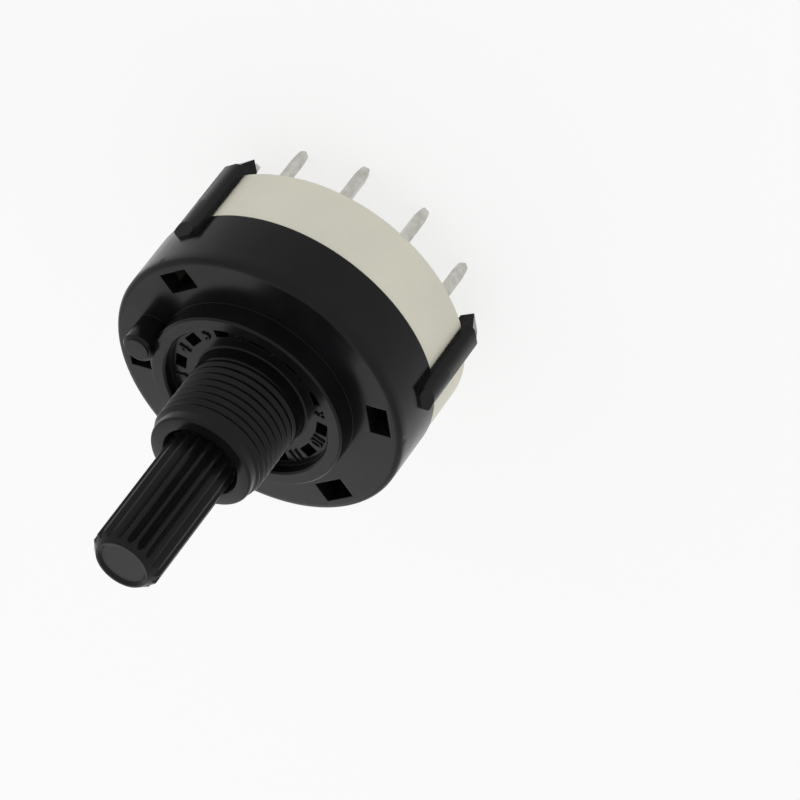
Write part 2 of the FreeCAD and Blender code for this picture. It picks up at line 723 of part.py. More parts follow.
def make_ball(label, side):
    """A steel ball at one end of the cross hole, drawn back clear of the crests."""
    ball = doc.addObject("Part::Sphere", label)
    ball.Label = label
    ball.setExpression("Radius", "Size.ball_radius")
    ball.setExpression("Placement.Base.x", f"({side} * {BALL_PLACE})")
    ball.setExpression("Placement.Base.z", "(-Size.ball_depth)")
    return ball


def make_spring(label, coil_radius, wire, turns, start, end):
    """A coil spring between two points: a wire of eight flats swept along a helix."""
    axis = end - start
    pitch = (axis.Length - wire) / turns
    helix = Part.makeHelix(pitch, pitch * turns, coil_radius)
    corners = []
    for number in range(8):
        angle = math.pi / 8 + number * math.pi / 4
        across = FreeCAD.Vector(math.cos(angle), 0, math.sin(angle)) * (wire / 2)
        corners.append(FreeCAD.Vector(coil_radius, 0, 0) + across)
    section = Part.makePolygon(corners + corners[:1])
    coil = Part.Wire(helix.Edges).makePipeShell([section], True, True)
    spring = doc.addObject("Part::Feature", label)
    spring.Label = label
    spring.Shape = coil
    spin = FreeCAD.Rotation(FreeCAD.Vector(0, 0, 1), axis)
    base = start + axis.normalize() * (wire / 2)
    spring.Placement = FreeCAD.Placement(base, spin)
    return spring


def make_detent_spring():
    half = worked(f"({BALL_PLACE} - Size.ball_radius - Size.spring_gap)")
    depth = worked("(-Size.ball_depth)")
    return make_spring(
        "detent_spring",
        worked("Size.detent_coil_radius"),
        worked("Size.detent_wire"),
        worked("Size.detent_turns"),
        FreeCAD.Vector(-half, 0, depth),
        FreeCAD.Vector(half, 0, depth),
    )


def make_contact_spring():
    angle = math.radians(worked("Size.bridge_angle"))
    place = worked(SPRING_PLACE)
    across = FreeCAD.Vector(place * math.cos(angle), place * math.sin(angle), 0)
    low = FreeCAD.Vector(0, 0, worked(f"({BRIDGE_FRONT} + Size.spring_gap)"))
    high = FreeCAD.Vector(0, 0, worked(f"({SEAT_ROOF} + Size.contact_well_depth - Size.spring_gap)"))
    return make_spring(
        "contact_spring",
        worked("Size.contact_coil_radius"),
        worked("Size.contact_wire"),
        worked("Size.contact_turns"),
        across + low,
        across + high,
    )


def make_bridge():
    """Stamped bridge whose two dimples join the common ring to one terminal."""
    body = start_body("contact_bridge")
    strip = flat_sketch(body, "strip_outline", BRIDGE_BACK)
    block(strip, BRIDGE_INNER, BRIDGE_OUTER, "Size.bridge_width")
    pad(body, strip, "Size.bridge_thickness", "strip")
    height = f"({BRIDGE_BACK} - {PLATE_FLOOR} - Size.contact_gap)"
    for name, place in (("inner_dimple", "Size.common_place"), ("outer_dimple", OUTER_CONTACT)):
        spot = flat_sketch(body, f"{name}_outline", BRIDGE_BACK)
        circle(spot, place, "0", "Size.dimple_radius")
        form = pad(body, spot, height, name, down=True)
        rim = [("Size.dimple_radius", f"({PLATE_FLOOR} + Size.contact_gap)")]
        soften(body, form, "Size.dimple_lead", rim, f"{name}_rim", kind="Chamfer")
    turned(body, "Size.bridge_angle")
    return body


parts = [make_housing(), make_plate()]
for terminal_number in range(1, int(worked("Size.position_count")) + 1):
    parts.append(make_terminal(terminal_number))
parts.append(make_common_terminal())
parts.append(make_shaft())
parts.append(make_detent_spring())
parts.append(make_ball("detent_ball_1", 1))
parts.append(make_ball("detent_ball_2", -1))
parts.append(make_bridge())
parts.append(make_contact_spring())
doc.recompute()

for item in doc.Objects:
    if "Invalid" in item.State or "Error" in item.State:
        raise RuntimeError(f"{item.Label} failed: {item.State}")
for part in parts:
    if part.Shape.isNull() or not part.Shape.isValid():
        raise RuntimeError(f"{part.Label} has no valid shape")
    if len(part.Shape.Solids) != 1:
        raise RuntimeError(f"{part.Label} is {len(part.Shape.Solids)} solids")

os.makedirs("parts", exist_ok=True)
for part in parts:
    part.Shape.exportStep(f"parts/{part.Label}.step")
    print(part.Label, round(part.Shape.Volume, 2))
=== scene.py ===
"""Dresses the rotary selector switch: finishes, light and camera, and the pieces it draws finer.

Three of its nodes are shown by meshes made here from the node's own mesh: the housing with its
thread, its position numbers and its tighter front edge, the shaft with its tapered and cupped
end, and the detent's coil, cut into two halves between the balls.
"""

import math

import bmesh
import bpy
from mathutils import Matrix, Vector


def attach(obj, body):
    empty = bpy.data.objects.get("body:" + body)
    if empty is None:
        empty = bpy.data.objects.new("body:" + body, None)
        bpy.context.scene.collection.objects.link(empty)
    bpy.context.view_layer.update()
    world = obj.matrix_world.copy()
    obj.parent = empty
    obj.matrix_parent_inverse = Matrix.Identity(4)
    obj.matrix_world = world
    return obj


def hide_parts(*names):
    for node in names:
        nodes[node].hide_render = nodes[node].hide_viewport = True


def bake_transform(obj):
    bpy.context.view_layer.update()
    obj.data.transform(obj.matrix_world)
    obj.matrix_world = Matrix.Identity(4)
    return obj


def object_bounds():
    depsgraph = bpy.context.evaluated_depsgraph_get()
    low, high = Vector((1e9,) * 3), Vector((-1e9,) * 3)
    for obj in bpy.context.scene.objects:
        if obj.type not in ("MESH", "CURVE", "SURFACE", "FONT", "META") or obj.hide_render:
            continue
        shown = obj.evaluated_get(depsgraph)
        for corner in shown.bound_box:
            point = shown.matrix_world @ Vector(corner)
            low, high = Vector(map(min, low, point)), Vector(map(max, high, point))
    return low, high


# Lengths are written in millimetres, and the scene is in metres.
MM = 0.001

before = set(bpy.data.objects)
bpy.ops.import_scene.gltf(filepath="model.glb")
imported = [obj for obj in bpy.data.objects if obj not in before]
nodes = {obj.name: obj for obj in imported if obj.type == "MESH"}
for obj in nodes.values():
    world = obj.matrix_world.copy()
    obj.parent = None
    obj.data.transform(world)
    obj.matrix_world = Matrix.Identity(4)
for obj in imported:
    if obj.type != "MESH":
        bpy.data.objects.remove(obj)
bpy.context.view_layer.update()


# ---------------------------------------------------------------- materials

# The span that nearly all of a noise texture's values fall in.
NOISE_LOW, NOISE_HIGH = 0.3, 0.7


def shade(hex_text):
    """A hex colour as written in sRGB, turned into the linear values that a shader takes."""
    parts = [int(hex_text[i:i + 2], 16) / 255 for i in (1, 3, 5)]
    linear = tuple(c / 12.92 if c <= 0.04045 else ((c + 0.055) / 1.055) ** 2.4 for c in parts)
    return linear + (1.0,)


def add(tree, kind, sockets=(), **settings):
    """Adds one node. A socket, by name or number, takes a value or another node's output."""
    node = tree.nodes.new(kind)
    for name, value in settings.items():
        setattr(node, name, value)
    for key, value in dict(sockets).items():
        if isinstance(value, bpy.types.NodeSocket):
            tree.links.new(value, node.inputs[key])
        else:
            node.inputs[key].default_value = value
    return node


def blank_material(name):
    """A new material with no nodes, its tree, and the piece's own coordinates in millimetres."""
    material = bpy.data.materials.new(name)
    material.use_nodes = True
    tree = material.node_tree
    tree.nodes.clear()
    place = add(tree, "ShaderNodeTexCoord").outputs["Object"]
    in_mm = add(tree, "ShaderNodeMapping", {
        "Vector": place, "Scale": (1.0 / MM, 1.0 / MM, 1.0 / MM)})
    return material, tree, in_mm.outputs["Vector"]


def moulded_nylon(name, dark, light, gloss, grain_mm, edge_mm):
    """Glass-filled nylon, injection moulded: a soft sheen that wanders a little.

    The melt drifts in tone and gloss over 3 mm where it cooled, and sinks by a hundredth of a
    millimetre over 1 mm. The spark-eroded tool leaves a grain of about 0.03 mm, drawn here twice
    as coarse or a little more so that it shows at all. The tool's corners are never quite sharp,
    so each edge carries a thin light line.
    """
    drift_mm, ripple_mm = 3.2, 1.1
    sink_depth, grain_depth = 0.012 * MM, 0.001 * MM
    duller, shinier = 0.045, 0.035
    material, tree, where = blank_material(name)
    drift = add(tree, "ShaderNodeTexNoise", {
        "Vector": where, "Scale": 1 / drift_mm, "Detail": 2.0}).outputs["Fac"]
    ripple = add(tree, "ShaderNodeTexNoise", {
        "Vector": where, "Scale": 1 / ripple_mm, "Detail": 1.0}).outputs["Fac"]
    grain = add(tree, "ShaderNodeTexNoise", {
        "Vector": where, "Scale": 1 / grain_mm, "Detail": 2.0, "Roughness": 0.6}).outputs["Fac"]
    share = add(tree, "ShaderNodeMapRange", {
        "Value": drift, "From Min": NOISE_LOW, "From Max": NOISE_HIGH}).outputs["Result"]
    colour = add(tree, "ShaderNodeMix", {
        0: share, 6: shade(dark), 7: shade(light)}, data_type="RGBA").outputs[2]
    roughness = add(tree, "ShaderNodeMapRange", {
        "Value": drift, "From Min": NOISE_LOW, "From Max": NOISE_HIGH,
        "To Min": gloss - shinier, "To Max": gloss + duller}).outputs["Result"]
    edge = add(tree, "ShaderNodeBevel", {"Radius": edge_mm * MM}, samples=6).outputs["Normal"]
    sink = add(tree, "ShaderNodeBump", {
        "Height": ripple, "Strength": 0.25, "Distance": sink_depth,
        "Normal": edge}).outputs["Normal"]
    skin = add(tree, "ShaderNodeBump", {
        "Height": grain, "Strength": 0.35, "Distance": grain_depth,
        "Normal": sink}).outputs["Normal"]
    shader = add(tree, "ShaderNodeBsdfPrincipled", {
        "Base Color": colour, "Roughness": roughness, "Normal": skin,
        "IOR": 1.53, "Specular IOR Level": 0.13})
    add(tree, "ShaderNodeOutputMaterial", {"Surface": shader.outputs["BSDF"]})
    return material


def filled_resin(name):
    """Cream phenolic, compression moulded: matt, and a little cloudy.

    Mineral filler leaves cloudy tints over 5 mm and specks of 0.05 mm, drawn here at 0.16 mm so
    that they show. The pressed skin has a flour-fine grain, drawn here at 0.09 mm.
    """
    cloud_mm, speck_mm, grain_mm = 5.5, 0.16, 0.09
    grain_depth = 0.006 * MM
    speck_from, speck_full, speck_strength = 0.66, 0.78, 0.35
    material, tree, where = blank_material(name)
    cloud = add(tree, "ShaderNodeTexNoise", {
        "Vector": where, "Scale": 1 / cloud_mm, "Detail": 3.0}).outputs["Fac"]
    speck = add(tree, "ShaderNodeTexNoise", {
        "Vector": where, "Scale": 1 / speck_mm, "Detail": 1.0}).outputs["Fac"]
    grain = add(tree, "ShaderNodeTexNoise", {
        "Vector": where, "Scale": 1 / grain_mm, "Detail": 3.0, "Roughness": 0.6}).outputs["Fac"]
    share = add(tree, "ShaderNodeMapRange", {
        "Value": cloud, "From Min": NOISE_LOW, "From Max": NOISE_HIGH}).outputs["Result"]
    tint = add(tree, "ShaderNodeMix", {
        0: share, 6: shade("#DFDCCB"), 7: shade("#D9D7C7")}, data_type="RGBA").outputs[2]
    dots = add(tree, "ShaderNodeMapRange", {
        "Value": speck, "From Min": speck_from, "From Max": speck_full,
        "To Max": speck_strength}).outputs["Result"]
    colour = add(tree, "ShaderNodeMix", {
        0: dots, 6: tint, 7: shade("#C8C3AF")}, data_type="RGBA").outputs[2]
    roughness = add(tree, "ShaderNodeMapRange", {
        "Value": cloud, "From Min": NOISE_LOW, "From Max": NOISE_HIGH,
        "To Min": 0.46, "To Max": 0.58}).outputs["Result"]
    skin = add(tree, "ShaderNodeBump", {
        "Height": grain, "Strength": 0.3, "Distance": grain_depth}).outputs["Normal"]
    shader = add(tree, "ShaderNodeBsdfPrincipled", {
        "Base Color": colour, "Roughness": roughness, "Normal": skin,
        "IOR": 1.55, "Specular IOR Level": 0.45})
    add(tree, "ShaderNodeOutputMaterial", {"Surface": shader.outputs["BSDF"]})
    return material


def drawn_metal(name, pale, dull, gloss, along, streak_mm):
    """Rolled strip or drawn wire: bright, with streaks that break the reflections up.

    The streaks run the way that along stretches them, which on a strip is the way it went through
    the rolls. They are a few hundredths of a millimetre wide, drawn here at about 0.1 mm so that
    they show, with dull patches of oxide just under 1 mm across.
    """
    patch_mm = 0.9
    streak_depth = 0.004 * MM
    duller, shinier = 0.08, 0.06
    material, tree, where = blank_material(name)
    drawn_out = add(tree, "ShaderNodeMapping", {
        "Vector": where, "Scale": along}).outputs["Vector"]
    streak = add(tree, "ShaderNodeTexNoise", {
        "Vector": drawn_out, "Scale": 1 / streak_mm, "Detail": 3.0}).outputs["Fac"]
    patch = add(tree, "ShaderNodeTexNoise", {
        "Vector": where, "Scale": 1 / patch_mm, "Detail": 3.0}).outputs["Fac"]
    share = add(tree, "ShaderNodeMapRange", {
        "Value": patch, "From Min": NOISE_LOW, "From Max": NOISE_HIGH}).outputs["Result"]
    colour = add(tree, "ShaderNodeMix", {
        0: share, 6: shade(pale), 7: shade(dull)}, data_type="RGBA").outputs[2]
    roughness = add(tree, "ShaderNodeMapRange", {
        "Value": streak, "From Min": NOISE_LOW, "From Max": NOISE_HIGH,
        "To Min": gloss - shinier, "To Max": gloss + duller}).outputs["Result"]
    skin = add(tree, "ShaderNodeBump", {
        "Height": streak, "Strength": 0.3, "Distance": streak_depth}).outputs["Normal"]
    shader = add(tree, "ShaderNodeBsdfPrincipled", {
        "Base Color": colour, "Roughness": roughness, "Normal": skin, "Metallic": 1.0})
    add(tree, "ShaderNodeOutputMaterial", {"Surface": shader.outputs["BSDF"]})
    return material


def lapped_steel(name):
    """A bearing ball, ground and then lapped to a mirror.

    Lapping leaves marks of under a hundredth of a millimetre, drawn here at 0.25 mm so that the
    mirror is seen to be a little uneven.
    """
    mark_mm = 0.25
    material, tree, where = blank_material(name)
    marks = add(tree, "ShaderNodeTexNoise", {
        "Vector": where, "Scale": 1 / mark_mm, "Detail": 4.0}).outputs["Fac"]
    share = add(tree, "ShaderNodeMapRange", {
        "Value": marks, "From Min": NOISE_LOW, "From Max": NOISE_HIGH}).outputs["Result"]
    colour = add(tree, "ShaderNodeMix", {
        0: share, 6: shade("#C9CACC"), 7: shade("#B9BBBE")}, data_type="RGBA").outputs[2]
    roughness = add(tree, "ShaderNodeMapRange", {
        "Value": marks, "From Min": NOISE_LOW, "From Max": NOISE_HIGH,
        "To Min": 0.06, "To Max": 0.14}).outputs["Result"]
    shader = add(tree, "ShaderNodeBsdfPrincipled", {
        "Base Color": colour, "Roughness": roughness, "Metallic": 1.0})
    add(tree, "ShaderNodeOutputMaterial", {"Surface": shader.outputs["BSDF"]})
    return material


# Black nylon of the housing: near black, with a soft sheen.
black_nylon = moulded_nylon(
    "black_moulded_nylon", dark="#101011", light="#151517", gloss=0.21, grain_mm=0.07, edge_mm=0.1)
# The same nylon on the shaft, from a tool with finer grain and closer corners.
shaft_nylon = moulded_nylon(
    "black_shaft_nylon", dark="#101011", light="#161618", gloss=0.24, grain_mm=0.06, edge_mm=0.06)
# Cream phenolic of the terminal plate: matt and slightly cloudy.
cream_resin = filled_resin("cream_filled_phenolic")
# Brass strip, blanked, then dipped in bright tin: silvery, with a warm tinge, streaked lengthways.
bright_tin = drawn_metal(
    "bright_tinned_brass", pale="#CFCEC9", dull="#B5B3AB", gloss=0.2,
    along=(1.0, 1.0, 0.12), streak_mm=0.12)
# Music wire, cold drawn: grey, with short streaks.
spring_wire = drawn_metal(
    "drawn_spring_wire", pale="#A9AAAC", dull="#8C8D90", gloss=0.26,
    along=(0.3, 1.0, 1.0), streak_mm=0.08)
# Phosphor bronze strip, rolled: warm, with brown handling tarnish, streaked lengthways.
bronze_strip = drawn_metal(
    "rolled_phosphor_bronze", pale="#C58B5B", dull="#A9744A", gloss=0.28,
    along=(1.0, 0.15, 1.0), streak_mm=0.1)
# Bearing steel of the two detent balls: a cool mirror.
ball_steel = lapped_steel("lapped_bearing_steel")


def dress(obj, material):
    """Gives a CAD node its finish."""
    for slot in obj.material_slots:
        slot.material = material


POSITIONS = 12
TERMINALS = ["terminal_%02d" % n for n in range(1, POSITIONS + 1)] + ["common_terminal"]
for name in TERMINALS:
    dress(nodes[name], bright_tin)
dress(nodes["terminal_plate"], cream_resin)
dress(nodes["contact_bridge"], bronze_strip)
dress(nodes["contact_spring"], spring_wire)
for name in ("detent_ball_1", "detent_ball_2"):
    dress(nodes[name], ball_steel)


# -------------------------------------------------- how the pieces are made

# Points that lie nearer together than this are one point, in metres.
WELD = 1e-7
# A CAD mesh repeats its corners from face to face, within this distance of one another.
CAD_WELD = 2e-7
# Two faces that meet at more than this keep a sharp edge between them.
SHARP_ANGLE = math.radians(32.0)
# Flat sides of a plain turned piece.
ROUND_SIDES = 128


def as_object(mesh, name):
    """Turns a bmesh into an object, and frees it."""
    data = bpy.data.meshes.new(name)
    mesh.to_mesh(data)
    mesh.free()
    obj = bpy.data.objects.new(name, data)
    bpy.context.collection.objects.link(obj)
    return obj


def smooth_step(value, start, end):
    """0 at start and 1 at end, with no kink at either."""
    t = min(max((value - start) / (end - start), 0.0), 1.0)
    return t * t * (3.0 - 2.0 * t)


def turned(name, profile, around):
    """A closed ring round the Z axis. profile gives its outline's points at an angle."""
    mesh = bmesh.new()
    rows = []
    for k in range(around):
        theta = 2.0 * math.pi * k / around
        rows.append([mesh.verts.new((r * math.cos(theta), r * math.sin(theta), z))
                     for r, z in profile(theta)])
    for k in range(around):
        here, there = rows[k], rows[(k + 1) % around]
        for i in range(len(here)):
            j = (i + 1) % len(here)
            mesh.faces.new((here[i], there[i], there[j], here[j]))
    bmesh.ops.recalc_face_normals(mesh, faces=mesh.faces)
    return as_object(mesh, name)


def plug(name, radius_low, radius_high, low, high):
    """A solid round plug or taper on the Z axis."""
    mesh = bmesh.new()
    bmesh.ops.create_cone(
        mesh, cap_ends=True, segments=ROUND_SIDES, radius1=radius_low, radius2=radius_high,
        depth=high - low, matrix=Matrix.Translation((0.0, 0.0, (low + high) / 2.0)))
    return as_object(mesh, name)


def evaluated_mesh(obj):
    """A mesh of the object as its modifiers or its text leave it."""
    return bpy.data.meshes.new_from_object(
        obj.evaluated_get(bpy.context.evaluated_depsgraph_get()))


def combine(target, other, operation):
    """Applies one boolean to target's own mesh, and removes the other object."""
    modifier = target.modifiers.new("combine", "BOOLEAN")
    modifier.operation = operation
    modifier.solver = "EXACT"
    modifier.object = other
    data = evaluated_mesh(target)
    target.modifiers.clear()
    target.data = data
    bpy.data.objects.remove(other)


def clean_copy(source, name):
    """A copy of a CAD node's mesh, its split edges joined again, as a new object in its place."""
    mesh = bmesh.new()
    mesh.from_mesh(source.data)
    mesh.transform(source.matrix_world)
    bmesh.ops.remove_doubles(mesh, verts=mesh.verts, dist=CAD_WELD)
    bmesh.ops.dissolve_degenerate(mesh, edges=mesh.edges, dist=WELD)
    bmesh.ops.recalc_face_normals(mesh, faces=mesh.faces)
    obj = as_object(mesh, name)
    for layer in ("custom_normal", "sharp_edge", "sharp_face"):
        if layer in obj.data.attributes:
            obj.data.attributes.remove(obj.data.attributes[layer])
    return obj


def surface(obj, material):
    """Gives a made piece its finish, smooth except across real edges."""
    obj.data.materials.clear()
    obj.data.materials.append(material)
    for face in obj.data.polygons:
        face.use_smooth = True
        face.material_index = 0
    obj.data.set_sharp_from_angle(angle=SHARP_ANGLE)


# ------------------------------------------------ threaded, numbered moulding

# The bushing: its bore, its thread and the plain nose past the thread.
BORE = 3.06 * MM
MOUTH = 0.35 * MM
CREST = 4.95 * MM
PITCH = 0.75 * MM
THREAD_DEPTH = 0.23 * MM
THREAD_FLANK = 0.36 * MM
THREAD_START = 0.1 * MM
THREAD_RUN_IN = 0.5 * MM
THREAD_END = 6.05 * MM
THREAD_RUN_OUT = 0.4 * MM
# The thread is drawn as this many sides, with this many rows of points up each, the first of them
# a little under the thread's start.
THREAD_SIDES = 144
THREAD_ROWS = 110
ROWS_LEAD = 0.05 * MM
NOSE = 4.6 * MM
NOSE_ROUND = 0.2 * MM
NOSE_STEPS = 6
TOP = 7.3 * MM
# The recess that the bushing stands in, and the pit cut there to seat the new bushing.
RECESS_FLOOR = -1.0 * MM
ROOT_ROUND = 0.2 * MM
ROOT_STEPS = 4
PIT_RADIUS = 5.3 * MM
PIT_FLOOR = -1.3 * MM
PIT_TOP = 12.0 * MM
# How far the sleeve reaches into the moulding round the pit and under it, so that the two join,
# and how far its foot stays under the recess floor, so that no two faces share a plane.
SLEEVE_OVERLAP = 0.1 * MM
SLEEVE_SUNK = 0.05 * MM
FOOT_SUNK = 0.003 * MM
# The front edge, whose round the solid draws larger than it is.
RIM_RADIUS = 13.2 * MM
FRONT = -2.0 * MM
RIM_ROUND = 0.45 * MM
SOLID_RIM_ROUND = 1.0 * MM
WALL_MARGIN = 0.002 * MM
# The position numbers, one every 30 degrees, clockwise from the last one's place. A figure takes
# up a share of its font's size, and is made a little narrower than the font has it.
NUMBER_RADIUS = 6.52 * MM
NUMBER_HEIGHT = 1.15 * MM
NUMBER_RAISED = 0.15 * MM
NUMBER_SUNK = 0.1 * MM
FIGURE_SHARE = 0.7
NUMBER_NARROWED = 0.86
LAST_NUMBER_AT = 120.0
NUMBER_STEP = 30.0


def thread_radius(theta, z):
    """A right-hand moulded thread, rounded, run in above the recess and run out at the nose."""
    turn = (z / PITCH - theta / (2.0 * math.pi)) % 1.0
    off_crest = min(turn, 1.0 - turn) * PITCH
    fall = smooth_step(off_crest, 0.0, THREAD_FLANK)
    fade = smooth_step(z, THREAD_START, THREAD_START + THREAD_RUN_IN)
    radius = CREST - THREAD_DEPTH * fall * fade
    if z <= THREAD_END - THREAD_RUN_OUT:
        return radius
    lead = CREST + (THREAD_END - z)
    return max(min(radius, lead), NOSE)


def sleeve_profile(theta):
    """The sleeve's outline at one angle: foot, thread, nose and bore, from the outside in."""
    points = [(PIT_RADIUS + SLEEVE_OVERLAP, PIT_FLOOR - SLEEVE_SUNK),
              (PIT_RADIUS + SLEEVE_OVERLAP, RECESS_FLOOR - FOOT_SUNK)]
    for i in range(ROOT_STEPS + 1):
        a = math.radians(90.0 / ROOT_STEPS * i)
        points.append((CREST + ROOT_ROUND * (1.0 - math.sin(a)),
                       RECESS_FLOOR + ROOT_ROUND * (1.0 - math.cos(a))))
    low, high = THREAD_START - ROWS_LEAD, TOP - NOSE_ROUND
    for i in range(THREAD_ROWS + 1):
        z = low + (high - low) * i / THREAD_ROWS
        points.append((thread_radius(theta, z), z))
    for i in range(1, NOSE_STEPS + 1):
        a = math.radians(90.0 / NOSE_STEPS * i)
        points.append((NOSE - NOSE_ROUND * (1.0 - math.cos(a)),
                       TOP - NOSE_ROUND * (1.0 - math.sin(a))))
    points.append((BORE + MOUTH, TOP))
    points.append((BORE, TOP - MOUTH))
    points.append((BORE, PIT_FLOOR - SLEEVE_SUNK))
    return points


def make_number(value, degrees):
    """One raised position number, standing on the recess floor with its head outwards."""
    name = "number_%02d" % value
    curve = bpy.data.curves.new(name, "FONT")
    curve.body = str(value)
    curve.size = NUMBER_HEIGHT / FIGURE_SHARE
    curve.align_x = "CENTER"
    curve.align_y = "CENTER"
    curve.extrude = (NUMBER_RAISED + NUMBER_SUNK) / 2.0
    curve.space_character = 0.92
    curve.resolution_u = 3
    lettering = bpy.data.objects.new(name, curve)
    bpy.context.collection.objects.link(lettering)
    data = evaluated_mesh(lettering)
    bpy.data.objects.remove(lettering)
    a = math.radians(degrees)
    at = Vector((NUMBER_RADIUS * math.cos(a), NUMBER_RADIUS * math.sin(a),
                 RECESS_FLOOR + (NUMBER_RAISED - NUMBER_SUNK) / 2.0))
    head_outwards = Matrix.Rotation(a - math.pi / 2.0, 4, "Z")
    narrowed = Matrix.Diagonal((NUMBER_NARROWED, 1.0, 1.0, 1.0))
    low = Vector([min(v.co[i] for v in data.vertices) for i in range(3)])
    high = Vector([max(v.co[i] for v in data.vertices) for i in range(3)])
    data.transform(Matrix.Translation(at) @ head_outwards @ narrowed
                   @ Matrix.Translation(-(low + high) / 2.0))
    mesh = bmesh.new()
    mesh.from_mesh(data)
    bmesh.ops.remove_doubles(mesh, verts=mesh.verts, dist=WELD)
    bmesh.ops.recalc_face_normals(mesh, faces=mesh.faces)
    return as_object(mesh, name)


def tighten_round(obj, radius, top, drawn, real):
    """Lifts the front edge's round, as large as the solid draws it, to the tighter real one."""
    for vertex in obj.data.vertices:
        out = math.hypot(vertex.co.x, vertex.co.y)
        if out > radius - drawn and vertex.co.z > top - drawn + WALL_MARGIN:
            across = min(max(out - (radius - real), 0.0), real)
            vertex.co.z = top - real + math.sqrt(real * real - across * across)


moulding = clean_copy(nodes["housing"], "housing_moulding")
tighten_round(moulding, RIM_RADIUS, FRONT, SOLID_RIM_ROUND, RIM_ROUND)
combine(moulding, plug("bushing_cut", PIT_RADIUS, PIT_RADIUS, PIT_FLOOR, PIT_TOP), "DIFFERENCE")
combine(moulding, turned("threaded_sleeve", sleeve_profile, THREAD_SIDES), "UNION")
for value in range(1, POSITIONS + 1):
    combine(moulding, make_number(value, LAST_NUMBER_AT - NUMBER_STEP * value), "UNION")
surface(moulding, black_nylon)
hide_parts("housing")
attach(moulding, "root")


# --------------------------------------------------------- the shaft's end

SHAFT_END = 19.6 * MM
SHAFT_CREST = 3.0 * MM
# The lip round the end, and the shallow cup inside it.
LIP_OUTER = 2.35 * MM
LIP_INNER = 2.16 * MM
CUP_RADIUS = 1.9 * MM
CUP_DEPTH = 0.22 * MM
CUP_PAST_END = 0.1 * MM
# The taper that the splines end in.
TAPER_LENGTH = 0.8 * MM
TAPER_PAST = 0.05
TAPER_CLEAR = 0.5 * MM
# The ring that fills the grooves near the end: from inside the core out to the taper.
BLANK_INNER = 1.5 * MM
BLANK_START = 0.9 * MM
BLANK_FOOT = 2.46 * MM
BLANK_FULL_FROM = 0.35 * MM
BLANK_OUTER = 2.64 * MM


def lip_blank(theta):
    """The ring that fills the end up to its lip, so that the grooves run out before it."""
    return [(BLANK_INNER, SHAFT_END - BLANK_START),
            (BLANK_FOOT, SHAFT_END - BLANK_START),
            (BLANK_OUTER, SHAFT_END - BLANK_FULL_FROM),
            (BLANK_OUTER, SHAFT_END),
            (BLANK_INNER, SHAFT_END)]


def taper_cut(theta):
    """What the taper takes off the splines' ends, drawn a little past both of its own ends."""
    run = SHAFT_CREST - LIP_OUTER
    low = SHAFT_END - (1.0 + TAPER_PAST) * TAPER_LENGTH
    high = SHAFT_END + TAPER_PAST * TAPER_LENGTH
    return [(LIP_OUTER - TAPER_PAST * run, high),
            (SHAFT_CREST + TAPER_PAST * run, low),
            (SHAFT_CREST + TAPER_CLEAR, low),
            (SHAFT_CREST + TAPER_CLEAR, high)]


def end_cup():
    """What the cup takes out of the end: its slope goes on past the end's face."""
    slope = (LIP_INNER - CUP_RADIUS) / CUP_DEPTH
    return plug("end_cup", CUP_RADIUS, LIP_INNER + slope * CUP_PAST_END,
                SHAFT_END - CUP_DEPTH, SHAFT_END + CUP_PAST_END)


splined = clean_copy(nodes["shaft"], "splined_shaft")
combine(splined, turned("lip_blank", lip_blank, ROUND_SIDES), "UNION")
combine(splined, turned("taper_cut", taper_cut, ROUND_SIDES), "DIFFERENCE")
combine(splined, end_cup(), "DIFFERENCE")
surface(splined, shaft_nylon)
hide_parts("shaft")
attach(splined, "rotor")


# ------------------------------------------------------- the detent's coil

def half_coil(name, side):
    """Half of the coil between the balls, cut across its middle, with the cut closed."""
    half = clean_copy(nodes["detent_spring"], name)
    mesh = bmesh.new()
    mesh.from_mesh(half.data)
    halved = bmesh.ops.bisect_plane(
        mesh, geom=mesh.verts[:] + mesh.edges[:] + mesh.faces[:],
        plane_co=(0.0, 0.0, 0.0), plane_no=(side, 0.0, 0.0), clear_inner=True)
    rim = [cut for cut in halved["geom_cut"] if isinstance(cut, bmesh.types.BMEdge)]
    bmesh.ops.triangle_fill(mesh, edges=rim, use_beauty=True)
    bmesh.ops.recalc_face_normals(mesh, faces=mesh.faces)
    mesh.to_mesh(half.data)
    mesh.free()
    surface(half, spring_wire)
    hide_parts("detent_spring")
    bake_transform(half)


half_coil("detent_coil_1", 1.0)
half_coil("detent_coil_2", -1.0)


# ------------------------------------------------------- light, floor, camera

WHITE = shade("#FFFFFF")
# How bright the white studio is as a light, against 1 where it is seen.
STUDIO_LIGHT = 0.85
# The share of the paper's look that is plain white where it is seen. The rest shows the shadow.
PAPER_BURNT = 0.78
PAPER_FIBRE_MM = 0.4
PAPER_TOOTH = 0.01 * MM
FLOOR_SIZE = 600.0 * MM
FLOOR_GAP = 0.02 * MM

scene = bpy.context.scene
scene.view_settings.view_transform = "Standard"

world = bpy.data.worlds.new("studio")
scene.world = world
world.use_nodes = True
sky = world.node_tree
sky.nodes.clear()


def showing(tree):
    """1 for the rays that show the background: seen straight on, in gloss or through a piece."""
    rays = add(tree, "ShaderNodeLightPath").outputs
    seen = add(tree, "ShaderNodeMath", {
        0: rays["Is Camera Ray"], 1: rays["Is Glossy Ray"]}, operation="MAXIMUM")
    seen = add(tree, "ShaderNodeMath", {
        0: seen.outputs[0], 1: rays["Is Transmission Ray"]}, operation="MAXIMUM")
    return seen.outputs[0]


level = add(sky, "ShaderNodeMapRange", {
    "Value": showing(sky), "To Min": STUDIO_LIGHT, "To Max": 1.0}).outputs["Result"]
white = add(sky, "ShaderNodeBackground", {"Strength": level, "Color": WHITE})
add(sky, "ShaderNodeOutputWorld", {"Surface": white.outputs["Background"]})

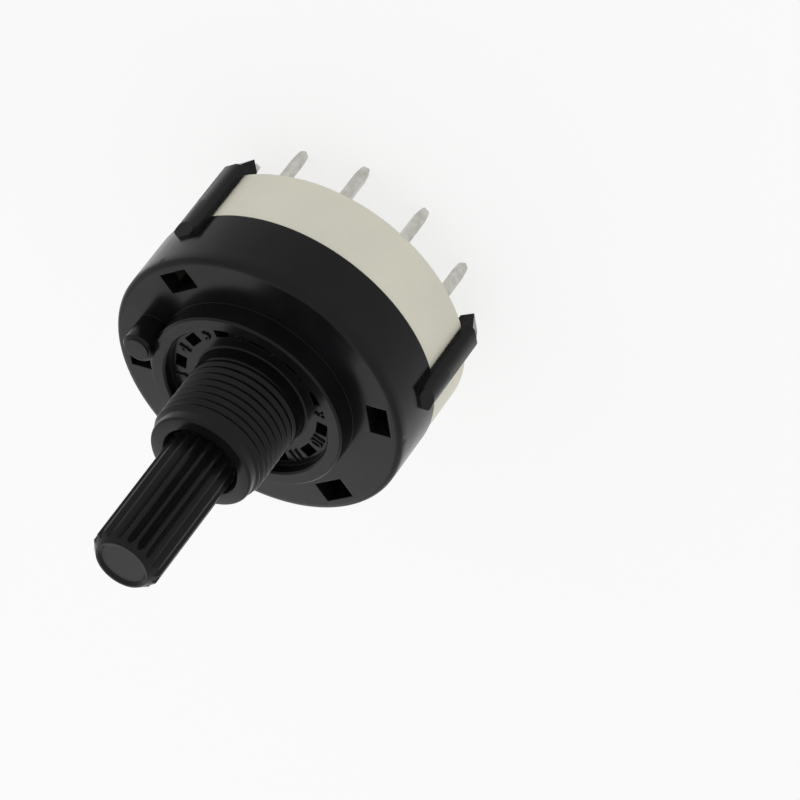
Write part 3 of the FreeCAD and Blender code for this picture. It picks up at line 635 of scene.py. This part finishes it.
floor_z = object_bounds()[0][2]
floor_mesh = bmesh.new()
bmesh.ops.create_grid(floor_mesh, x_segments=1, y_segments=1, size=FLOOR_SIZE)
floor = as_object(floor_mesh, "table_top")
floor.location = (0.0, 0.0, floor_z - FLOOR_GAP)
# White paper, pressed smooth and matt: its own glow burns it out, and it keeps a faint shadow.
paper, paper_tree, paper_place = blank_material("white_paper")
fibre = add(paper_tree, "ShaderNodeTexNoise", {
    "Vector": paper_place, "Scale": 1 / PAPER_FIBRE_MM, "Detail": 3.0}).outputs["Fac"]
tooth = add(paper_tree, "ShaderNodeBump", {
    "Height": fibre, "Strength": 0.1, "Distance": PAPER_TOOTH}).outputs["Normal"]
sheet = add(paper_tree, "ShaderNodeBsdfPrincipled", {
    "Base Color": shade("#F4F4F4"), "Roughness": 0.9, "Normal": tooth})
glow = add(paper_tree, "ShaderNodeEmission", {"Color": WHITE, "Strength": 1.0})
burnt_share = add(paper_tree, "ShaderNodeMath", {
    0: showing(paper_tree), 1: PAPER_BURNT}, operation="MULTIPLY").outputs[0]
burnt = add(paper_tree, "ShaderNodeMixShader", {
    0: burnt_share, 1: sheet.outputs["BSDF"], 2: glow.outputs["Emission"]}).outputs["Shader"]
add(paper_tree, "ShaderNodeOutputMaterial", {"Surface": burnt})
floor.data.materials.append(paper)


def soft_lamp(name, at_mm, aim_mm, size_mm, watts):
    """A round soft light at one point, turned to another."""
    data = bpy.data.lights.new(name, "AREA")
    data.shape = "DISK"
    data.size = size_mm * MM
    data.energy = watts
    obj = bpy.data.objects.new(name, data)
    bpy.context.collection.objects.link(obj)
    at, aim = Vector(at_mm) * MM, Vector(aim_mm) * MM
    facing = (aim - at).to_track_quat("-Z", "Y").to_matrix().to_4x4()
    obj.matrix_world = Matrix.Translation(at) @ facing


# Low, across the table from the camera: in the picture it puts a sheen on the wall's lower part.
soft_lamp("key", at_mm=(9.6, 276.0, 117.2), aim_mm=(0.0, 0.0, 0.0), size_mm=130.0, watts=0.062)


def photo_camera(aim_mm, azimuth, elevation, roll, distance_mm, lens):
    """A camera on a sphere round its aim point, turned about its own axis by roll."""
    az, el, turn = math.radians(azimuth), math.radians(elevation), math.radians(roll)
    back = Vector((math.sin(az) * math.cos(el), -math.cos(az) * math.cos(el), math.sin(el)))
    level_right = (-back).cross(Vector((0.0, 0.0, 1.0))).normalized()
    level_up = level_right.cross(-back)
    up = math.cos(turn) * level_up + math.sin(turn) * level_right
    right = (-back).cross(up)
    data = bpy.data.cameras.new("photo_camera")
    data.sensor_width = 36.0
    data.lens = lens
    data.clip_start = 0.01
    data.clip_end = 10.0
    obj = bpy.data.objects.new("photo_camera", data)
    bpy.context.collection.objects.link(obj)
    turned_to = Matrix((right, up, back)).transposed().to_4x4()
    obj.matrix_world = Matrix.Translation((Vector(aim_mm) + back * distance_mm) * MM) @ turned_to
    scene.camera = obj


# Fitted to points of the housing, bushing, recess, windows and terminals in the photograph.
photo_camera(aim_mm=(-9.913, 0.346, -9.423), azimuth=-2.0, elevation=36.690, roll=143.786,
             distance_mm=407.80, lens=225.0)
